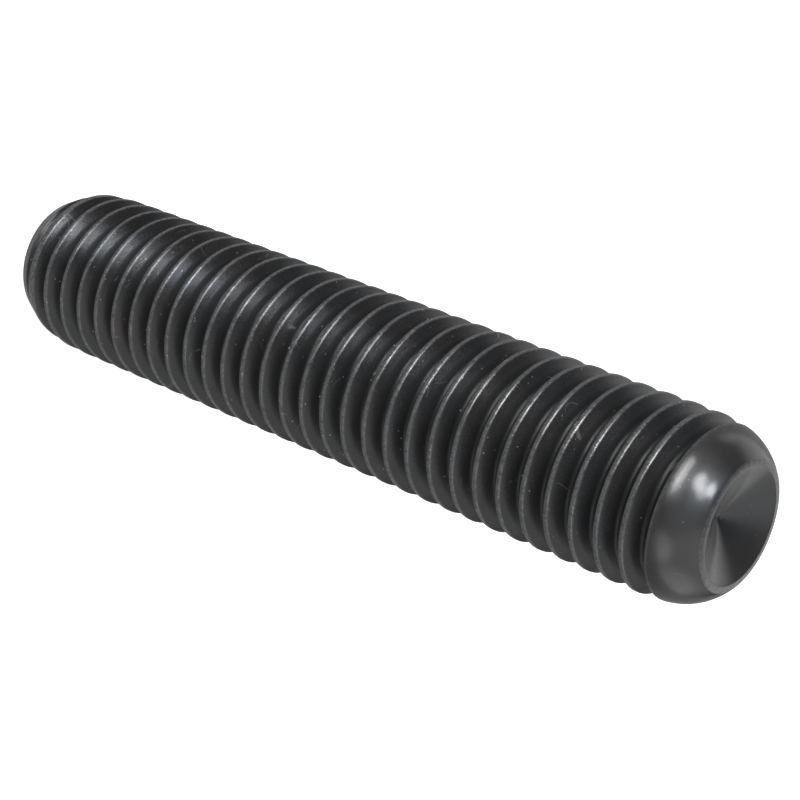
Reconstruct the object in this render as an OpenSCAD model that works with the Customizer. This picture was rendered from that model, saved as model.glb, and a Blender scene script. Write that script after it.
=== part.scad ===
// Grub set screw: one bar of alloy steel, threaded over its whole length, with a hexagon
// socket in the chamfered end that it stands on and a cup point at the top.
// Millimetres, +Z along the axis from the socket end to the cup point, origin at the
// centre of the socket end's face.

/* [Thread] */
// Diameter over the crests of the thread
major_d = 12.7; // [12:0.1:16]
// Distance along the axis from one crest to the next
pitch = 1.954; // [1.5:0.001:2.5]
// Angle between the two flanks of a thread, degrees
thread_angle = 60; // [50:1:70]
// Width of the flat on top of a full crest
crest_flat = 0.32; // [0.1:0.01:0.4]
// Width of the flat along the bottom of the groove
root_flat = 0.35; // [0.2:0.01:0.6]
// Way the thread winds
thread_hand = "left"; // [left, right]
// Place of the crest round the axis where it meets the socket end's plane, degrees
start_angle = 240; // [0:1:359]
// Straight steps in one turn of the thread
turn_steps = 40; // [16:4:40]

/* [Body] */
// Length over both ends
length = 63.5; // [30:0.5:75]
// How far from each end the rolled crests begin to stay low
low_crest_run = 5.5; // [2:0.1:10]
// Share of the thread's depth that is missing at the very end
low_crest_share = 0.6; // [0:0.05:0.95]
// Plain length at the socket end, where the groove has run out
plain_low = 1.8; // [0.5:0.1:4]
// Plain length behind the point, where the groove has run out
plain_high = 2.1; // [0.5:0.1:6]
// Length over which the groove gets shallow
runout = 1; // [0.5:0.1:4]

/* [Socket end] */
// Diameter of the flat ring that the screw stands on
face_d = 10.1; // [9.2:0.1:11.2]
// Angle between the end chamfer and the axis, degrees
chamfer_angle = 26; // [20:1:60]
// Hexagon socket across its flats
hex_flats = 6.35; // [4:0.05:7]
// Depth of the hexagon's flats
hex_depth = 7; // [3:0.1:12]
// Point angle of the drilled floor under the hexagon, degrees
floor_angle = 118; // [90:1:150]
// How far the countersunk mouth reaches past the hexagon's corners
mouth_margin = 0.15; // [0.05:0.05:0.3]

/* [Cup point] */
// Diameter of the rim's top line
cup_d = 8.1; // [6:0.1:9]
// Angle of the cup's cone, degrees
cup_angle = 130; // [90:1:140]
// Radius that rounds the rim
rim_r = 0.25; // [0.1:0.05:0.5]
// Radius of the nose's convex outline
nose_r = 3.4; // [2.6:0.1:4]
// Angle between the nose and the axis where it meets the rim, degrees
nose_front_angle = 65; // [60:1:74]
// Angle between the nose and the axis where it meets the thread, degrees
nose_back_angle = 16; // [12:1:25]

/* [Hidden] */

// Thread profile, with z measured from the middle of the crest
half_angle = thread_angle / 2;
flank_run = (pitch - crest_flat - root_flat) / 2;
thread_depth = flank_run / tan(half_angle);
root_r = major_d / 2 - thread_depth;
hand = thread_hand == "left" ? -1 : 1;

// The swept thread runs past both ends, so that the blank's own faces trim it
spare_turns = 2;
turns = ceil(length / pitch) + 2 * spare_turns;
last_step = turns * turn_steps;
row = 4;

// Blank that the thread is rolled on
blank_margin = 0.2;
blank_r = major_d / 2 + blank_margin;
chamfer_rise = (blank_r - face_d / 2) / tan(chamfer_angle);
cup_half = cup_angle / 2;
rim_steps = 2;
nose_steps = 4;
rim_centre = [cup_d / 2, length - rim_r];
rim_inner = rim_centre + rim_r * [-cos(cup_half), sin(cup_half)];
nose_centre = rim_centre - (nose_r - rim_r) * [cos(nose_front_angle), sin(nose_front_angle)];
nose_back = nose_centre + nose_r * [cos(nose_back_angle), sin(nose_back_angle)];
nose_start = nose_back.y - (blank_r - nose_back.x) / tan(nose_back_angle);
cup_floor = rim_inner.y - rim_inner.x / tan(cup_half);

// Socket
hex_corner_r = hex_flats / 2 / cos(30);
mouth_r = hex_corner_r + mouth_margin;
cut_margin = 1;

// How far the crest at height z lies under the full thread, near either end
function crest_drop(z) =
    let (from_end = min(z, length - z))
    low_crest_share * thread_depth * pow(min(1, max(0, 1 - from_end / low_crest_run)), 2);

// Radius of the crest at height z
function crest_r(z) = major_d / 2 - crest_drop(z);

// Radius of the groove's bottom at height z: it rises to the crest where the groove runs out
function groove_r(z) =
    let (
        low = (plain_low + runout - z) / runout,
        high = (z - length + plain_high + runout) / runout,
        share = min(1, max(0, low, high))
    )
    root_r + share * share * (3 - 2 * share) * (crest_r(z) - root_r);

// One of the four profile points: lower root, lower crest, upper crest, upper root.
// A lower crest is wider, because the two flanks keep their places.
function profile(corner, z) =
    let (
        half_flat = crest_flat / 2 + crest_drop(z) * tan(half_angle),
        to_root = crest_flat / 2 + flank_run
    )
    corner == 0 ? [groove_r(z - to_root), -to_root]
    : corner == 1 ? [crest_r(z), -half_flat]
    : corner == 2 ? [crest_r(z), half_flat]
    : [groove_r(z + to_root), to_root];

// Point of the thread: the profile carried along the helix
function thread_point(step, corner) =
    let (
        z = pitch * (step / turn_steps - spare_turns),
        turned = start_angle + hand * 360 * step / turn_steps,
        p = profile(corner, z)
    )
    [p.x * cos(turned), p.x * sin(turned), z + p.y];

// A face's corners in the order that keeps its outside outward for either hand
function handed(face) = hand < 0 ? face : [for (i = [len(face) - 1 : -1 : 0]) face[i]];

// Two triangles between two neighbouring lines of points
function strip(a, b) = [handed([a, a + row, b + row]), handed([a, b + row, b])];

// The rolled thread as one closed skin: flanks, crest and root strips, a shallow fan at
// each end of the helix and the step where the helix starts and stops
module rolled_thread() {
    low_hub = row * (last_step + 1);
    high_hub = low_hub + 1;
    low_end = row * turn_steps;
    high_start = row * (last_step - turn_steps);
    high_end = row * last_step;
    points = concat(
        [for (step = [0 : last_step], corner = [0 : 3]) thread_point(step, corner)],
        [
            [0, 0, -spare_turns * pitch],
            [0, 0, (turns - spare_turns) * pitch]
        ]
    );
    faces = concat(
        [
            for (step = [0 : last_step - 1], corner = [0 : 2])
                each strip(row * step + corner, row * step + corner + 1)
        ],
        [
            for (step = [0 : last_step - turn_steps - 1])
                each strip(row * step + 3, row * (step + turn_steps))
        ],
        [
            for (step = [0 : turn_steps - 1])
                handed([low_hub, row * (step + 1), row * step])
        ],
        [
            for (step = [last_step - turn_steps : last_step - 1])
                handed([high_hub, row * step + 3, row * (step + 1) + 3])
        ],
        [
            handed([low_hub, 0, 1, 2, 3, low_end]),
            handed([high_hub, high_end + 3, high_end + 2, high_end + 1, high_end, high_start + 3])
        ]
    );
    polyhedron(points = points, faces = faces);
}

// Outline of the turned blank: standing face, chamfer, convex nose, rounded rim and cup
module blank_outline() {
    nose = [
        for (i = [0 : nose_steps - 1])
            let (a = nose_back_angle + (nose_front_angle - nose_back_angle) * i / nose_steps)
            nose_centre + nose_r * [cos(a), sin(a)]
    ];
    rim = [
        for (i = [-rim_steps : rim_steps])
            let (a = 90 + i / rim_steps * (90 - (i < 0 ? nose_front_angle : cup_half)))
            rim_centre + rim_r * [cos(a), sin(a)]
    ];
    polygon(concat(
        [
            [0, 0],
            [face_d / 2, 0],
            [blank_r, chamfer_rise],
            [blank_r, nose_start]
        ],
        nose,
        rim,
        [[0, cup_floor]]
    ));
}

module blank() {
    rotate_extrude($fn = 96) blank_outline();
}

// Hexagon socket with a countersunk mouth and the cone that the drill left
module hex_socket() {
    rotate([0, 0, 30])
        translate([0, 0, -cut_margin])
            cylinder(h = hex_depth + cut_margin, r = hex_corner_r, $fn = 6);
    translate([0, 0, -cut_margin])
        cylinder(h = mouth_r + cut_margin, r1 = mouth_r + cut_margin, r2 = 0, $fn = 96);
    translate([0, 0, hex_depth])
        cylinder(h = hex_flats / 2 / tan(floor_angle / 2), r1 = hex_flats / 2, r2 = 0, $fn = 96);
}

module set_screw() {
    color("#303134")
        difference() {
            intersection() {
                rolled_thread();
                blank();
            }
            hex_socket();
        }
}

set_screw();
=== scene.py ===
# Grub set screw, standing on its socket end with the cup point up. The script takes the packed
# model as its frame, dresses the one solid with a finely cut thread and a blackened finish, and
# sets the camera, lights and floor as in the photograph. Lengths are metres in the scene.
import math

import bpy
import numpy as np
from mathutils import Matrix, Vector


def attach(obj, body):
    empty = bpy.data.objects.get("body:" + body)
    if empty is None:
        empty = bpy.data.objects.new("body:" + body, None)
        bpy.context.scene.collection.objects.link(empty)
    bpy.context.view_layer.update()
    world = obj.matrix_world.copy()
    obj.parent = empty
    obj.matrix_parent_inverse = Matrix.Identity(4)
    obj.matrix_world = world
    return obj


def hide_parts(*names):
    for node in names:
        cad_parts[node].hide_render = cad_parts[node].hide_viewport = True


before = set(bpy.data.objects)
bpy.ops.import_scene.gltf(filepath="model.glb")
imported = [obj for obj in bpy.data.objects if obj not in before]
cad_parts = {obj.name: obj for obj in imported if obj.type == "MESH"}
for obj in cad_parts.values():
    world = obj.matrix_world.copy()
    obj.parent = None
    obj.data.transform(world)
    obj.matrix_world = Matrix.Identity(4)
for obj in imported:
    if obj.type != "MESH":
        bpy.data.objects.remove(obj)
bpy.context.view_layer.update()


# Camera: a long lens close above the cup point and turned on its side, so that the standing
# screw runs across the picture from the upper left, where its socket end is, to the lower right.
camera = bpy.data.objects.new("camera", bpy.data.cameras.new("camera"))
camera.data.sensor_width = 36.0
camera.data.lens = 93.217
camera.data.clip_start = 0.01
camera.matrix_world = Matrix((
    (0.61839, 0.0, -0.78587, -0.114627),
    (0.23508, 0.95421, 0.18498, 0.026407),
    (0.74988, -0.29914, 0.59008, 0.121378),
    (0.0, 0.0, 0.0, 1.0),
))
bpy.context.collection.objects.link(camera)
bpy.context.scene.camera = camera
bpy.context.scene.view_settings.view_transform = "Standard"


# Light table: a matt white board lit from below until it burns out to plain white, with no more
# than a faint shadow where the screw stands. Its gloss is taken off: the metal doesn't mirror it.
def linear(hex_colour):
    """An sRGB colour written as #rrggbb, as linear light: the usual curve with its short straight foot."""
    share = np.array([int(hex_colour[i:i + 2], 16) for i in (1, 3, 5)]) / 255
    light = np.where(share <= 0.04045, share / 12.92, ((share + 0.055) / 1.055) ** 2.4)
    return (*light.tolist(), 1.0)


def add_node(tree, kind, inputs=None, **settings):
    """One node: the settings go on the node, the inputs on its sockets as a value or another's output."""
    made = tree.nodes.new(kind)
    for name, value in settings.items():
        setattr(made, name, value)
    for socket, value in (inputs or {}).items():
        if isinstance(value, bpy.types.NodeSocket):
            tree.links.new(value, made.inputs[socket])
        else:
            made.inputs[socket].default_value = value
    return made


def new_material(name):
    """An empty node material and its node tree; the caller adds the output node."""
    material = bpy.data.materials.new(name)
    material.use_nodes = True
    material.node_tree.nodes.clear()
    return material, material.node_tree


BOARD_HALF = 1.5
BOARD_GLOW = 0.8
# Matt white acrylic with light behind it: rough, without gloss, and white from any side
acrylic, tree = new_material("glowing_white_acrylic")
shader = add_node(tree, "ShaderNodeBsdfPrincipled", {
    "Base Color": linear("#e4e4e4"), "Roughness": 1.0, "Specular IOR Level": 0.0,
    "Emission Color": linear("#ffffff"), "Emission Strength": BOARD_GLOW,
})
add_node(tree, "ShaderNodeOutputMaterial", {"Surface": shader.outputs["BSDF"]})

mesh = bpy.data.meshes.new("light_table")
corners = np.array([(-1, -1, 0), (1, -1, 0), (1, 1, 0), (-1, 1, 0)]) * BOARD_HALF
mesh.from_pydata(corners.tolist(), [], [(0, 1, 2, 3)])
mesh.materials.append(acrylic)
light_table = bpy.data.objects.new("light_table", mesh)
light_table.visible_glossy = False
bpy.context.collection.objects.link(light_table)


# Studio: two small softboxes side by side, high on the far left, with a bright panel under them, give
# the row of highlights along the thread and the inner spot on the nose. A low row of bright panels gives
# the nose its outer spot. Faint white panels stand round the table, and the rest is dark.
def towards(azimuth, elevation):
    """The direction at two angles in degrees: round the screw from +X to +Y, and up from the floor."""
    flat, up = math.radians(azimuth), math.radians(elevation)
    return Vector((math.cos(up) * math.cos(flat), math.cos(up) * math.sin(flat), math.sin(up)))


SOFTBOX_AWAY = 0.4
SOFTBOX_RADIUS = 0.049
# Azimuth and elevation of each softbox in degrees, and its radiance; their light is slightly blue
SOFTBOXES = ((122, 60, 17.2), (140, 52, 7.7))
SCREW_MIDDLE = Vector((0, 0, 0.032))
for azimuth, elevation, radiance in SOFTBOXES:
    softbox_light = bpy.data.lights.new("softbox", "AREA")
    softbox_light.shape = "DISK"
    softbox_light.size = 2 * SOFTBOX_RADIUS
    softbox_light.color = linear("#f3f7ff")[:3]
    softbox_light.energy = radiance * math.pi * math.pi * SOFTBOX_RADIUS**2
    softbox = bpy.data.objects.new("softbox", softbox_light)
    to_softbox = towards(azimuth, elevation)
    softbox.location = SCREW_MIDDLE + SOFTBOX_AWAY * to_softbox
    softbox.rotation_euler = to_softbox.to_track_quat("Z", "Y").to_euler()
    softbox.visible_camera = False
    bpy.context.collection.objects.link(softbox)

# Azimuth and elevation of each panel's middle, the angles from it at which the panel is at its
# full brightness and has faded out, all in degrees, and that brightness
PANELS = (
    (272, 38, 25, 60, 0.64),
    (270, 62, 10, 28, 0.24),
    (342, 20, 8, 24, 0.85),
    (25, 10, 14, 34, 0.9),
    (60, 3, 5, 15, 0.9),
    (122, 4, 4, 12, 10.5),
    (137, 4, 5, 13, 12.5),
    (151, 4, 4, 12, 9.0),
    (148, 6, 8, 24, 0.96),
    (130, 38, 5, 13, 14.0),
    (200, 40, 10, 35, 0.3),
    (225, 6, 8, 24, 1.4),
    (275, 6, 12, 30, 0.6),
)
LIGHT_FROM_BELOW = 0.3
HORIZON_BLUR = 0.05              # the height, up and down, over which the panels end at the table
world = bpy.data.worlds.new("studio")
bpy.context.scene.world = world
world.use_nodes = True
tree = world.node_tree
tree.nodes.clear()
direction = add_node(tree, "ShaderNodeTexCoord").outputs["Generated"]
height = add_node(tree, "ShaderNodeSeparateXYZ", {"Vector": direction}).outputs["Z"]
total = add_node(tree, "ShaderNodeMapRange", {
    "Value": height, "From Min": -HORIZON_BLUR, "From Max": HORIZON_BLUR,
    "To Min": LIGHT_FROM_BELOW, "To Max": 0.0,
}, interpolation_type="SMOOTHSTEP").outputs["Result"]
above = add_node(tree, "ShaderNodeMapRange", {
    "Value": height, "From Min": -HORIZON_BLUR, "From Max": HORIZON_BLUR,
})
for azimuth, elevation, full, faded, brightness in PANELS:
    facing = add_node(tree, "ShaderNodeVectorMath", {
        0: direction, 1: towards(azimuth, elevation),
    }, operation="DOT_PRODUCT")
    share = add_node(tree, "ShaderNodeMapRange", {
        "Value": facing.outputs["Value"],
        "From Min": math.cos(math.radians(faded)), "From Max": math.cos(math.radians(full)),
        "To Min": 0.0, "To Max": brightness,
    }, interpolation_type="SMOOTHSTEP")
    cut = add_node(tree, "ShaderNodeMath", {
        0: share.outputs["Result"], 1: above.outputs["Result"],
    }, operation="MULTIPLY")
    total = add_node(tree, "ShaderNodeMath", {
        0: total, 1: cut.outputs["Value"],
    }, operation="ADD").outputs["Value"]
studio_light = add_node(tree, "ShaderNodeBackground", {"Color": linear("#ffffff"), "Strength": total})
add_node(tree, "ShaderNodeOutputWorld", {"Surface": studio_light.outputs["Background"]})


# Screw: one bar of alloy steel with a left-hand thread rolled over its whole length. Its ends are
# turned to a chamfer and to a round nose with a cup, the hexagon is broached, and it is blackened
# in a hot salt bath and oiled. Sizes are millimetres, as on the drawing.
MM = 0.001
LENGTH = 63.5
PITCH = 1.954
CREST_R = 6.34
CREST_FLAT = 0.32
CREST_CORNER_R = 0.09
FLANK_ANGLE = math.radians(30)
START_ANGLE = 240                # place of the crest round the axis where it meets the floor
TURN = 120                       # columns of points in one turn of the thread
LOW_CREST_RUN = 5.5              # how far from each end the rolled crests begin to stay low
LOW_CREST_SHARE = 0.6            # share of the thread's depth that is missing at the very end
PLAIN_LOW = 0.7                  # plain length at the socket end, where the groove has run out
PLAIN_HIGH = 2.1                 # plain length behind the point
RUNOUT = 1.0                     # length over which the groove gets shallow
TRIM_BLEND = 0.08                # width of the soft corner where turned cones cut the thread
FACE_R = 5.05
CHAMFER_ANGLE = math.radians(26)
MOUTH_R = 3.817                  # radius of the hexagon's countersunk mouth
HEX_HALF = 3.175
HEX_DEPTH = 7.0
FLOOR_ANGLE = math.radians(59)
MOUTH_EDGE = 0.02                # rounding of the mouth's edge
HEX_EDGE_OUT = 0.01              # rounding of the hexagon's edge, outwards and along the axis
HEX_EDGE_ALONG = 0.03
CUP_R = 4.05
CUP_HALF = math.radians(65)
RIM_R = 0.25
RIM_UNDER = 0.005                # how far the ring on the rim stays under the full length
RING_BLEND = 0.05                # widths of the soft corners from nose to ring and ring to cup
CUP_BLEND = 0.03
NOSE_R = 4.55                    # radius of the nose's outline
NOSE_FRONT = math.radians(52)    # slope of the nose where it meets the rim
NOSE_BACK = math.radians(16)     # slope of the nose where it meets the thread
NOSE_TIP = np.array([4.5, 63.44])    # radius and height at which the nose's outline ends
RIM_FALL = math.radians(5)       # slope of the narrow ring on top of the rim, down to the outside

# Lines of the profile that follow from those sizes
sharp_root_r = CREST_R - (PITCH - CREST_FLAT) / 2 / math.tan(FLANK_ANGLE)
root_arc_r = 0.144 * PITCH       # the rounded root of a rolled thread
root_centre_r = sharp_root_r + root_arc_r / math.sin(FLANK_ANGLE)
thread_depth = CREST_R - root_centre_r + root_arc_r
rim_centre = np.array([CUP_R, LENGTH - RIM_R])
nose_centre = NOSE_TIP - NOSE_R * np.array([math.cos(NOSE_FRONT), math.sin(NOSE_FRONT)])
nose_back = nose_centre + NOSE_R * np.array([math.cos(NOSE_BACK), math.sin(NOSE_BACK)])
cup_edge = rim_centre + RIM_R * np.array([-math.cos(CUP_HALF), math.sin(CUP_HALF)])
cup_apex = cup_edge[1] - cup_edge[0] / math.tan(CUP_HALF)


def turned_radius(z):
    """Radius of the turned blank at height z: a cone that opens at the chamfer, a cone that closes
    behind the nose, and the nose's arc; the least of them counts."""
    chamfer = FACE_R + z * math.tan(CHAMFER_ANGLE)
    cone = nose_back[0] + (nose_back[1] - z) * math.tan(NOSE_BACK)
    reach = np.clip(z - nose_centre[1], 0, NOSE_R)
    arc = nose_centre[0] + np.sqrt(NOSE_R**2 - reach**2)
    return np.minimum(chamfer, np.where(z > nose_back[1], arc, cone))


def blended_least(a, b, width):
    """The smaller of two lengths, with the corner between them rounded over the given width: half
    their sum, less half the root of their difference squared plus the width squared."""
    return 0.5 * (a + b - np.sqrt((a - b) ** 2 + width**2))


def point_height(r):
    """Height of the point's outline at radius r near the rim: the arc of the nose, the narrow
    sloping ring on top of the rim and the cone of the cup; the least of them counts."""
    nose = nose_centre[1] + np.sqrt(NOSE_R**2 - (r - nose_centre[0]) ** 2)
    ring = LENGTH - RIM_UNDER - (r - CUP_R) * math.tan(RIM_FALL)
    cup = cup_apex + r / math.tan(CUP_HALF)
    return blended_least(blended_least(nose, ring, RING_BLEND), cup, CUP_BLEND)


def low_crest(z):
    """How far the crest at height z stays under the full thread: a share of the depth that grows
    with the square of the way into the last few millimetres at either end."""
    from_end = np.clip(np.minimum(z, LENGTH - z), 0, None)
    return LOW_CREST_SHARE * thread_depth * np.clip(1 - from_end / LOW_CREST_RUN, 0, 1) ** 2


def thread_rows(drop):
    """One pitch of the thread from root to root, as offsets along the axis and radii, for crests
    that lie lower by drop: the root's arc, a straight flank at 30 degrees, the crest's rounded
    corner and its flat, and the same again mirrored."""
    drop = drop[:, None]
    root_turn = np.radians([0, 20, 40, 60])
    corner_turn = np.radians([60, 30, 0])
    half_flat = CREST_FLAT / 2 + drop * math.tan(FLANK_ANGLE)
    corner_at = half_flat - CREST_CORNER_R * math.tan(FLANK_ANGLE)
    root_u = -PITCH / 2 + root_arc_r * np.sin(root_turn) + 0 * drop
    root_v = root_centre_r - root_arc_r * np.cos(root_turn) + 0 * drop
    corner_u = -corner_at - CREST_CORNER_R * np.sin(corner_turn)
    corner_v = CREST_R - drop - CREST_CORNER_R * (1 - np.cos(corner_turn))
    share = np.array([0.25, 0.5, 0.75, 0.93])
    flank_u = root_u[:, -1:] + share * (corner_u[:, :1] - root_u[:, -1:])
    flank_v = root_v[:, -1:] + share * (corner_v[:, :1] - root_v[:, -1:])
    up_u = np.hstack([root_u, flank_u, corner_u])
    up_v = np.hstack([root_v, flank_v, corner_v])
    middle_u = 0 * drop
    middle_v = CREST_R - drop
    offsets = np.hstack([up_u, middle_u, -up_u[:, :0:-1]])
    radii = np.hstack([up_v, middle_v, up_v[:, :0:-1]])
    return offsets, radii


# Among the rows of a pitch: how much of its blacking each row of the crest has lost, and how much painted
# shade, darkening it and making it rougher, each row of the groove's floor takes, at either end of the
# pitch
CREST_ROWS = slice(8, 15)
CREST_WEAR = np.array([0, 0, 0.3, 0.6, 1, 0.6, 0.15])
ROOT_SHADE = np.array([1, 1, 1, 1, 0.6])
ROOT_ROWS = ROOT_SHADE.size
# The thread's grid is trimmed at these two heights, and turned rings follow
nose_turn = np.radians([41, 43, 45])
low_z = 0.07
high_z = nose_centre[1] + NOSE_R * math.sin(nose_turn[0])
columns = np.arange(-TURN, math.ceil((LENGTH / PITCH + 1) * TURN))
crest_z = PITCH * columns / TURN
offsets, radii = thread_rows(low_crest(crest_z))
rows = offsets.shape[1]
z = crest_z[:, None] + offsets
groove_z = crest_z[:, None] + np.where(offsets < 0, -PITCH / 2, PITCH / 2)
past_low = PLAIN_LOW + RUNOUT - groove_z
past_high = groove_z - LENGTH + PLAIN_HIGH + RUNOUT
filled = np.clip(np.maximum(past_low, past_high) / RUNOUT, 0, 1)
filled = filled**2 * (3 - 2 * filled)
crest_r = CREST_R - low_crest(z)
radii = radii + filled * (crest_r - radii)
radii = blended_least(radii, turned_radius(z), TRIM_BLEND)
angle = np.radians(START_ANGLE - 360 * columns / TURN)[:, None] + 0 * z
worn = np.zeros(z.shape)
worn[:, CREST_ROWS] = CREST_WEAR * (1 - filled[:, CREST_ROWS])
# Painted shade on the floor of the groove, none where the groove is filled
# The last row of a pitch is the one before the next pitch's first, so it starts one row further in
groove_shade = np.zeros(z.shape)
groove_shade[:, :ROOT_ROWS] = ROOT_SHADE
groove_shade[:, 1 - ROOT_ROWS:] = ROOT_SHADE[:0:-1]
groove_shade = groove_shade * (1 - filled)

# Turned rings: down from the trimmed thread over the standing face into the socket, and up over
# the nose and the rim into the cup
ring_angle = np.radians(START_ANGLE - 360 * np.arange(TURN) / TURN)
hexagon = HEX_HALF / np.cos((ring_angle + math.pi / 6) % (math.pi / 3) - math.pi / 6)
flat_ring = np.ones(TURN)
floor_drop = HEX_HALF / math.tan(FLOOR_ANGLE)
socket_apex = HEX_DEPTH + floor_drop
# How far outside the standing face's edge, and how high, each ring of its rounded corner lies
face_edge = ((0.012, 0.028), (-0.01, 0.008), (-0.05, 0))
socket_rings = [
    (turned_radius(low_z) * flat_ring, low_z * flat_ring),
    *(((FACE_R + outside) * flat_ring, high * flat_ring) for outside, high in face_edge),
    (0.5 * (FACE_R + MOUTH_R) * flat_ring, 0 * flat_ring),
    ((MOUTH_R + MOUTH_EDGE) * flat_ring, 0 * flat_ring),
    ((MOUTH_R - 0.5 * MOUTH_EDGE) * flat_ring, MOUTH_EDGE * flat_ring),
    (hexagon + HEX_EDGE_OUT, MOUTH_R - hexagon),
    (hexagon, MOUTH_R - hexagon + HEX_EDGE_ALONG),
    (hexagon, 0.5 * HEX_DEPTH * flat_ring),
    (hexagon, HEX_DEPTH * flat_ring),
    (HEX_HALF * flat_ring, HEX_DEPTH * flat_ring),
    (0.5 * HEX_HALF * flat_ring, (HEX_DEPTH + 0.5 * floor_drop) * flat_ring),
]
# The rings lie closest together at the two corners of the narrow ring on the rim
rim_r = np.array([
    4.8, 4.7, 4.61, 4.55, 4.52, 4.49, 4.46, 4.41, 4.28, 4.16, 4.1, 4.06, 4.03, 4.0, 3.96, 3.9, 3.8,
])
cup_r = np.array([3.5, 3.1, 2.6, 2.1, 1.5, 0.9, 0.3])
point_r = np.concatenate([nose_centre[0] + NOSE_R * np.cos(nose_turn), rim_r, cup_r])
point_z = np.concatenate([
    nose_centre[1] + NOSE_R * np.sin(nose_turn),
    point_height(rim_r),
    cup_apex + cup_r / math.tan(CUP_HALF),
])
point_rings = [(r * flat_ring, h * flat_ring) for r, h in zip(point_r, point_z)]

# One list of points: the thread's grid, the socket's rings, the point's rings and the two apexes
low_start = z.size
high_start = low_start + len(socket_rings) * TURN
low_apex = high_start + len(point_rings) * TURN
high_apex = low_apex + 1
rings = socket_rings + point_rings
all_r = np.concatenate([radii.ravel(), *(r for r, _ in rings), [0, 0]])
all_z = np.concatenate([z.ravel(), *(h for _, h in rings), [socket_apex, cup_apex]])
ring_angles = np.tile(ring_angle, len(rings))
all_angle = np.concatenate([angle.ravel(), ring_angles, [0, 0]])
points = np.column_stack([all_r * np.cos(all_angle), all_r * np.sin(all_angle), all_z]) * MM

# A grid point past a trimmed end, or within SNAP of it, stands for the first ring's point in its column
SNAP = 0.02
place = np.arange(z.size).reshape(z.shape)
column = (columns % TURN)[:, None] + 0 * place
place = np.where(z < low_z + SNAP, low_start + column, place)
place = np.where(z > high_z - SNAP, high_start + column, place)


def quads_between(lower, upper):
    """Quads from each point to the next column's and to the next row's, wound to face outwards."""
    return np.stack([lower[:-1], upper[:-1], upper[1:], lower[1:]], axis=-1).reshape(-1, 4)


pitch_ends = np.hstack([place[:-TURN, -1:], place[TURN:, :1]])
faces = [quads_between(place[:, i], place[:, i + 1]) for i in range(rows - 1)]
faces.append(quads_between(pitch_ends[:, 0], pitch_ends[:, 1]))
closed = np.append(np.arange(TURN), 0)
for i in range(len(socket_rings) - 1):
    faces.append(quads_between(low_start + (i + 1) * TURN + closed, low_start + i * TURN + closed))
for i in range(len(point_rings) - 1):
    faces.append(quads_between(high_start + i * TURN + closed, high_start + (i + 1) * TURN + closed))
# A quad that names one corner twice is a triangle, and one that names two corners twice is nothing
quads = np.concatenate(faces)
twice = [quads[:, i] == quads[:, (i + 1) % 4] for i in range(4)]
repeats = np.sum(twice, axis=0)
triangles = [
    np.delete(quads[twice[i] & (repeats == 1)], i, axis=1) for i in range(4)
]
# Fans close the drilled floor of the socket and the cup at the axis
last_low = low_start + (len(socket_rings) - 1) * TURN
last_high = high_start + (len(point_rings) - 1) * TURN
fan = np.full(TURN, 1)
triangles.append(np.column_stack([low_apex * fan, last_low + closed[:-1], last_low + closed[1:]]))
triangles.append(np.column_stack([last_high + closed[:-1], high_apex * fan, last_high + closed[1:]]))
quads = quads[repeats == 0]
triangles = np.concatenate(triangles)
used, renumbered = np.unique(np.concatenate([quads.ravel(), triangles.ravel()]), return_inverse=True)
quads = renumbered[:quads.size].reshape(-1, 4)
triangles = renumbered[quads.size:].reshape(-1, 3)

mesh = bpy.data.meshes.new("threaded_screw")
mesh.from_pydata(points[used].tolist(), [], quads.tolist() + triangles.tolist())

# What the material reads at each point: how worn it is, how finely it was turned, and how much painted
# shade it takes on the groove's floor. The narrow ring on the rim is worn too, and the socket end is
# turned coarsely.
RIM_WEAR = 0.45
FIRST_WORN_RING = 5              # among the rings of rim_r
WORN_RINGS = 7
CHAMFER_TURNED = 0.35
TURNED_BELOW = 2.75              # heights between which the skin is rolled, and how softly it changes
TURNED_ABOVE = 60.75
TURNED_BLEND = 0.8
off_thread = np.zeros(points.shape[0] - z.size)
wear = np.concatenate([worn.ravel(), off_thread])
worn_start = high_start + (nose_turn.size + FIRST_WORN_RING) * TURN
wear[worn_start:worn_start + WORN_RINGS * TURN] = RIM_WEAR
low_share = CHAMFER_TURNED * np.clip((TURNED_BELOW - z.ravel()) / TURNED_BLEND, 0, 1)
high_share = np.clip((z.ravel() - TURNED_ABOVE) / TURNED_BLEND, 0, 1)
ring_share = np.concatenate([
    np.full(len(socket_rings) * TURN, CHAMFER_TURNED),
    np.ones(len(point_rings) * TURN),
    [CHAMFER_TURNED, 1],
])
turned = np.concatenate([np.maximum(low_share, high_share), ring_share])
in_groove = np.concatenate([groove_shade.ravel(), off_thread])
for name, share in (("crest_wear", wear), ("turned_share", turned), ("groove_painted_shade", in_groove)):
    mesh.attributes.new(name, "FLOAT", "POINT").data.foreach_set("value", share[used].astype(np.float32))
SHARP_ANGLE = math.radians(38)
mesh.shade_smooth()
mesh.set_sharp_from_angle(angle=SHARP_ANGLE)
threaded_screw = bpy.data.objects.new("threaded_screw", mesh)
bpy.context.collection.objects.link(threaded_screw)
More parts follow.
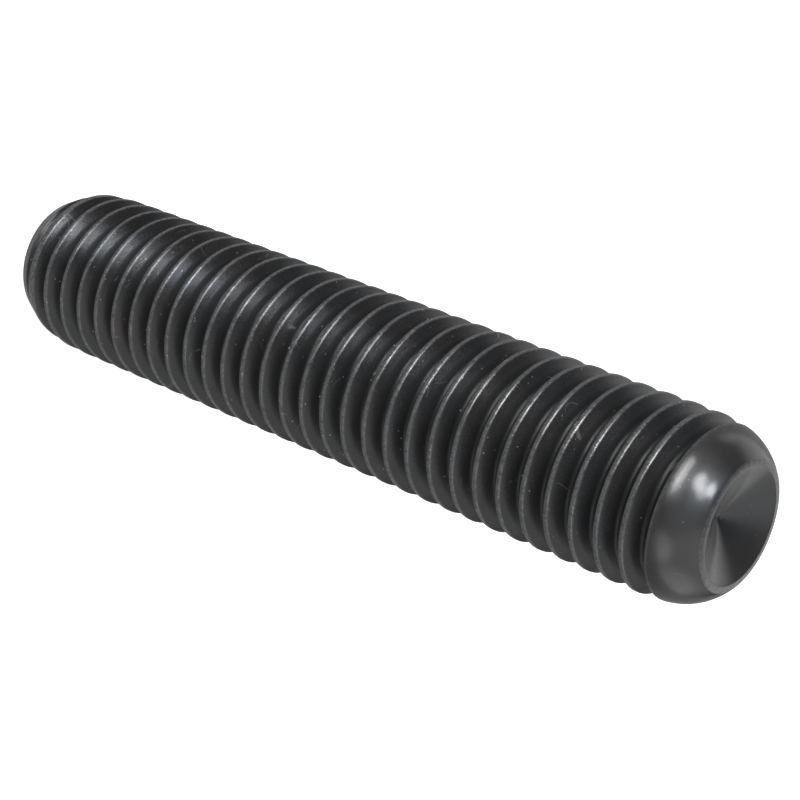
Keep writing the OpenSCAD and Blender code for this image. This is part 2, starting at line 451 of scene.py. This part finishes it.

# Black oxide on steel: a matt, near-black skin, cool in one place and brown in another where the salts
# stayed, with shade painted darkest on the groove's floor. A film of oil lies over it, thin on the thread
# and thicker on the turned ends, and gives the sharp glints. The grain of the rolled skin breaks them up,
# and the ends show fine turning lines. The crests are rubbed to a grainy grey, and pale specks and
# hair-thin scratches lie all over.
TONE_PATCH = 4.0                 # sizes of the patterns, in millimetres
ROLLED_GRAIN = 0.07
RUBBED_GRAIN = 0.35
SPECK_CELL = 0.34
SCRATCH_CURVE = 2.4
SCRATCH_STRETCH = 1.2
OIL_SMEAR = 2.5
TOOL_FEED = 0.16
GRAIN_DEPTH = 0.009              # depths of the rolled grain and of the turning lines
TOOL_DEPTH = 0.006
oxide, tree = new_material("black_oxide_steel")
place_on = add_node(tree, "ShaderNodeTexCoord").outputs["Object"]
patches = add_node(tree, "ShaderNodeTexNoise", {
    "Vector": place_on, "Scale": 1 / (TONE_PATCH * MM), "Detail": 4.0, "Roughness": 0.6,
})
tone_share = add_node(tree, "ShaderNodeMapRange", {
    "Value": patches.outputs["Fac"], "From Min": 0.38, "From Max": 0.66,
})
tone = add_node(tree, "ShaderNodeMix", {
    "Factor": tone_share.outputs["Result"], "A": linear("#37393a"), "B": linear("#3b3838"),
}, data_type="RGBA")
# Painted shade: the groove's floor is darkened towards near-black
groove_shade_share = add_node(tree, "ShaderNodeAttribute", attribute_name="groove_painted_shade")
groove_shaded_tone = add_node(tree, "ShaderNodeMix", {
    "Factor": groove_shade_share.outputs["Fac"], "A": tone.outputs["Result"], "B": linear("#1f2021"),
}, data_type="RGBA")

# Rubbed crests: bare grey steel in grains of uneven size
worn_share = add_node(tree, "ShaderNodeAttribute", attribute_name="crest_wear")
rubbed = add_node(tree, "ShaderNodeTexNoise", {
    "Vector": place_on, "Scale": 1 / (RUBBED_GRAIN * MM), "Detail": 3.0, "Roughness": 0.8,
})
rubbed_share = add_node(tree, "ShaderNodeMapRange", {
    "Value": rubbed.outputs["Fac"], "From Min": 0.36, "From Max": 0.66, "To Min": 0.15, "To Max": 1.0,
})
bare = add_node(tree, "ShaderNodeMath", {
    0: worn_share.outputs["Fac"], 1: rubbed_share.outputs["Result"],
}, operation="MULTIPLY")
rubbed_tone = add_node(tree, "ShaderNodeMix", {
    "Factor": bare.outputs["Value"], "A": groove_shaded_tone.outputs["Result"], "B": linear("#8e9091"),
}, data_type="RGBA")

# Pale specks: a round dot in some cells of a random pattern, and in more cells on the crests
cells = add_node(tree, "ShaderNodeTexVoronoi", {"Vector": place_on, "Scale": 1 / (SPECK_CELL * MM)})
chance = add_node(tree, "ShaderNodeSeparateColor", {"Color": cells.outputs["Color"]})
crest_chance = add_node(tree, "ShaderNodeMath", {
    0: worn_share.outputs["Fac"], 1: 0.2, 2: chance.outputs["Red"],
}, operation="MULTIPLY_ADD")
speck_r = add_node(tree, "ShaderNodeMapRange", {
    "Value": crest_chance.outputs["Value"],
    "From Min": 0.68, "From Max": 1.1, "To Min": 0.0, "To Max": 0.22,
})
from_edge = add_node(tree, "ShaderNodeMath", {
    0: speck_r.outputs["Result"], 1: cells.outputs["Distance"],
}, operation="SUBTRACT")
speck = add_node(tree, "ShaderNodeMapRange", {
    "Value": from_edge.outputs["Value"], "From Min": 0.0, "From Max": 0.05,
})

# Hair-thin scratches: the lines where a slow noise passes its middle, shown in short stretches
folds = add_node(tree, "ShaderNodeTexNoise", {
    "Vector": place_on, "Scale": 1 / (SCRATCH_CURVE * MM), "Detail": 1.0, "Roughness": 0.4,
})
from_line = add_node(tree, "ShaderNodeMath", {0: folds.outputs["Fac"], 1: 0.5}, operation="SUBTRACT")
off_line = add_node(tree, "ShaderNodeMath", {0: from_line.outputs["Value"]}, operation="ABSOLUTE")
line = add_node(tree, "ShaderNodeMapRange", {
    "Value": off_line.outputs["Value"],
    "From Min": 0.002, "From Max": 0.009, "To Min": 1.0, "To Max": 0.0,
})
stretch = add_node(tree, "ShaderNodeTexNoise", {
    "Vector": place_on, "Scale": 1 / (SCRATCH_STRETCH * MM), "Detail": 0.0,
})
piece_share = add_node(tree, "ShaderNodeMapRange", {
    "Value": stretch.outputs["Fac"], "From Min": 0.67, "From Max": 0.72, "To Min": 0.0, "To Max": 0.3,
})
scratch = add_node(tree, "ShaderNodeMath", {
    0: line.outputs["Result"], 1: piece_share.outputs["Result"],
}, operation="MULTIPLY")
either = add_node(tree, "ShaderNodeMath", {
    0: speck.outputs["Result"], 1: scratch.outputs["Value"],
}, operation="MAXIMUM")
turned_share = add_node(tree, "ShaderNodeAttribute", attribute_name="turned_share")
marked_share = add_node(tree, "ShaderNodeMapRange", {
    "Value": turned_share.outputs["Fac"], "To Min": 0.9, "To Max": 0.25,
})
mark = add_node(tree, "ShaderNodeMath", {
    0: either.outputs["Value"], 1: marked_share.outputs["Result"],
}, operation="MULTIPLY")
colour = add_node(tree, "ShaderNodeMix", {
    "Factor": mark.outputs["Value"], "A": rubbed_tone.outputs["Result"], "B": linear("#a9a8a2"),
}, data_type="RGBA")

# Relief: the rolled grain, which is faint where the skin was turned, and the turning lines there
grain = add_node(tree, "ShaderNodeTexNoise", {
    "Vector": place_on, "Scale": 1 / (ROLLED_GRAIN * MM), "Detail": 2.0, "Roughness": 0.7,
})
grain_relief = add_node(tree, "ShaderNodeMapRange", {
    "Value": turned_share.outputs["Fac"], "To Min": 1.0, "To Max": 0.2,
})
rolled = add_node(tree, "ShaderNodeBump", {
    "Height": grain.outputs["Fac"], "Strength": grain_relief.outputs["Result"],
    "Distance": GRAIN_DEPTH * MM,
})
height_on = add_node(tree, "ShaderNodeSeparateXYZ", {"Vector": place_on})
along = add_node(tree, "ShaderNodeCombineXYZ", {"Z": height_on.outputs["Z"]})
tool_lines = add_node(tree, "ShaderNodeTexNoise", {
    "Vector": along.outputs["Vector"], "Scale": 1 / (TOOL_FEED * MM), "Detail": 2.0, "Roughness": 0.6,
})
tool_relief = add_node(tree, "ShaderNodeMath", {
    0: turned_share.outputs["Fac"], 1: 0.5,
}, operation="MULTIPLY")
bump = add_node(tree, "ShaderNodeBump", {
    "Height": tool_lines.outputs["Fac"], "Strength": tool_relief.outputs["Value"],
    "Distance": TOOL_DEPTH * MM, "Normal": rolled.outputs["Normal"],
})

# Roughness: the grain's own, more on the turned ends, the groove's floor where shade is painted and the
# rubbed crests, and more or less in slow smears where the oil was wiped
matt = add_node(tree, "ShaderNodeMapRange", {
    "Value": grain.outputs["Fac"], "From Min": 0.3, "From Max": 0.7, "To Min": 0.2, "To Max": 0.32,
})
turned_matt = add_node(tree, "ShaderNodeMapRange", {
    "Value": turned_share.outputs["Fac"], "To Min": 0.0, "To Max": 0.13,
})
groove_floor_matt = add_node(tree, "ShaderNodeMath", {
    0: groove_shade_share.outputs["Fac"], 1: 0.3, 2: turned_matt.outputs["Result"],
}, operation="MULTIPLY_ADD")
smears = add_node(tree, "ShaderNodeTexNoise", {
    "Vector": place_on, "Scale": 1 / (OIL_SMEAR * MM), "Detail": 3.0, "Roughness": 0.65,
})
smear_matt = add_node(tree, "ShaderNodeMapRange", {
    "Value": smears.outputs["Fac"], "From Min": 0.35, "From Max": 0.65, "To Min": -0.08, "To Max": 0.04,
})
worn_matt = add_node(tree, "ShaderNodeMath", {
    0: bare.outputs["Value"], 1: 0.08, 2: smear_matt.outputs["Result"],
}, operation="MULTIPLY_ADD")
surface_matt = add_node(tree, "ShaderNodeMath", {
    0: groove_floor_matt.outputs["Value"], 1: worn_matt.outputs["Value"],
}, operation="ADD")
roughness = add_node(tree, "ShaderNodeMath", {
    0: matt.outputs["Result"], 1: surface_matt.outputs["Value"],
}, operation="ADD")
oil = add_node(tree, "ShaderNodeMapRange", {
    "Value": turned_share.outputs["Fac"], "To Min": 0.25, "To Max": 0.72,
})
# The oxide is only partly metallic, and the rubbed crests are bare steel
metallic = add_node(tree, "ShaderNodeMapRange", {
    "Value": bare.outputs["Value"], "To Min": 0.6, "To Max": 1.0,
})
shader = add_node(tree, "ShaderNodeBsdfPrincipled", {
    "Base Color": colour.outputs["Result"], "Metallic": metallic.outputs["Result"],
    "Roughness": roughness.outputs["Value"],
    "Normal": bump.outputs["Normal"],
    "Coat Weight": oil.outputs["Result"], "Coat Roughness": 0.15,
    "Coat Normal": bump.outputs["Normal"],
})
add_node(tree, "ShaderNodeOutputMaterial", {"Surface": shader.outputs["BSDF"]})
mesh.materials.append(oxide)
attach(threaded_screw, "root")
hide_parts("set_screw")
